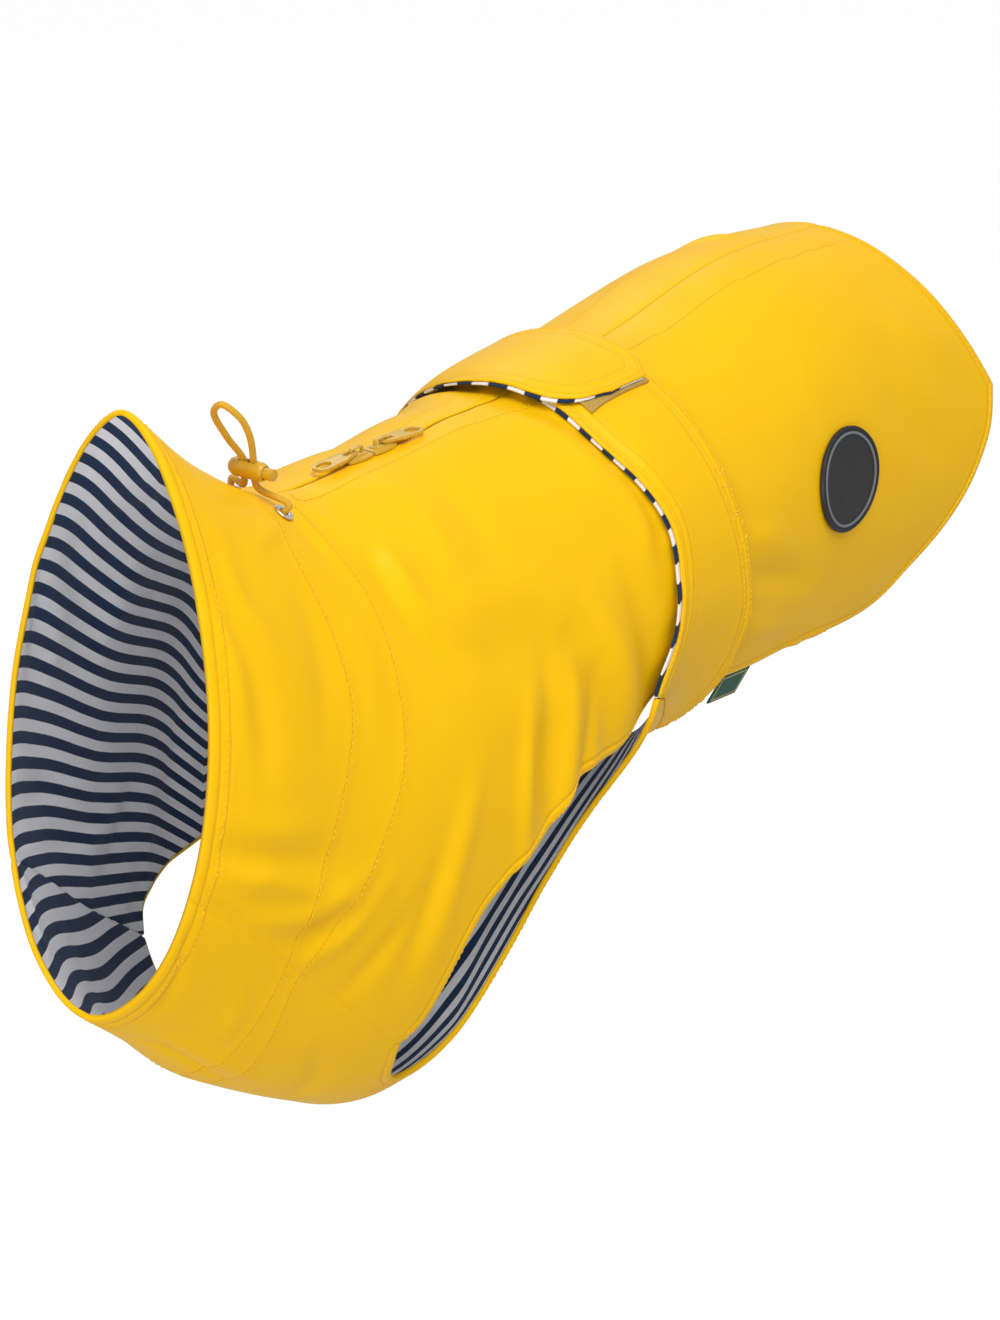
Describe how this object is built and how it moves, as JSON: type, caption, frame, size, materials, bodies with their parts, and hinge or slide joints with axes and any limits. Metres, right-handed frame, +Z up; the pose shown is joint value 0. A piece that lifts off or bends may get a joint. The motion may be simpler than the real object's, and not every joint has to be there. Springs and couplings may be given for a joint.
{
  "type": "dog raincoat",
  "caption": "Sleeveless waterproof dog coat, filled out as if worn, with a stand collar, leg openings, a belt that closes over the back, a back zip and a neck drawstring.",
  "frame": {"origin": "inside of the back at the withers, where the coat rests on the dog, on the inner face of the zip's tape", "axes": "+Z up, +X towards the dog's tail, -Y towards the dog's left side"},
  "size_m": [0.5548, 0.1847, 0.3439],
  "materials": {
    "cloth": "satin",
    "lining": "matte",
    "pad": "matte",
    "zip": "satin",
    "metal": "polished",
    "cord": "matte",
    "stopper": "matte",
    "badge": "matte",
    "tag": "matte"
  },
  "bodies": {
    "coat": {"side_left": "cloth", "lining_left": "lining", "eyelet_left": "metal", "arm_left": "cloth", "arm_lining_left": "lining", "side_right": "cloth", "lining_right": "lining", "eyelet_right": "metal", "arm_right": "cloth", "arm_lining_right": "lining", "chest": "cloth", "lining_chest": "lining", "fastener_pad": "pad", "zip_tape": "pad", "slider_front": "zip", "slider_rear": "zip", "drawcord": "cord", "cord_stopper": "stopper", "badge": "badge", "tag": "tag"},
    "pull_front": {"pull_front": "zip"},
    "pull_rear": {"pull_rear": "zip"},
    "stopper_button": {"stopper_button": "stopper"}
  },
  "joints": [
    {"name": "pull_front_hinge", "type": "hinge", "parent": "coat", "child": "pull_front", "pos_m": [-0.00327, -0.0038, 0.00878], "axis": [0.0333, 0.9994, 0.0005], "range_deg": [0, 105]},
    {"name": "pull_rear_hinge", "type": "hinge", "parent": "coat", "child": "pull_rear", "pos_m": [0.01472, -0.0044, 0.00905], "axis": [-0.0333, -0.9994, -0.0005], "range_deg": [0, 105]},
    {"name": "stopper_button_slide", "type": "slide", "parent": "coat", "child": "stopper_button", "axis": [0, 1, 0], "range_m": [0, 0.002], "stiffness_N_per_m": 400}
  ]
}
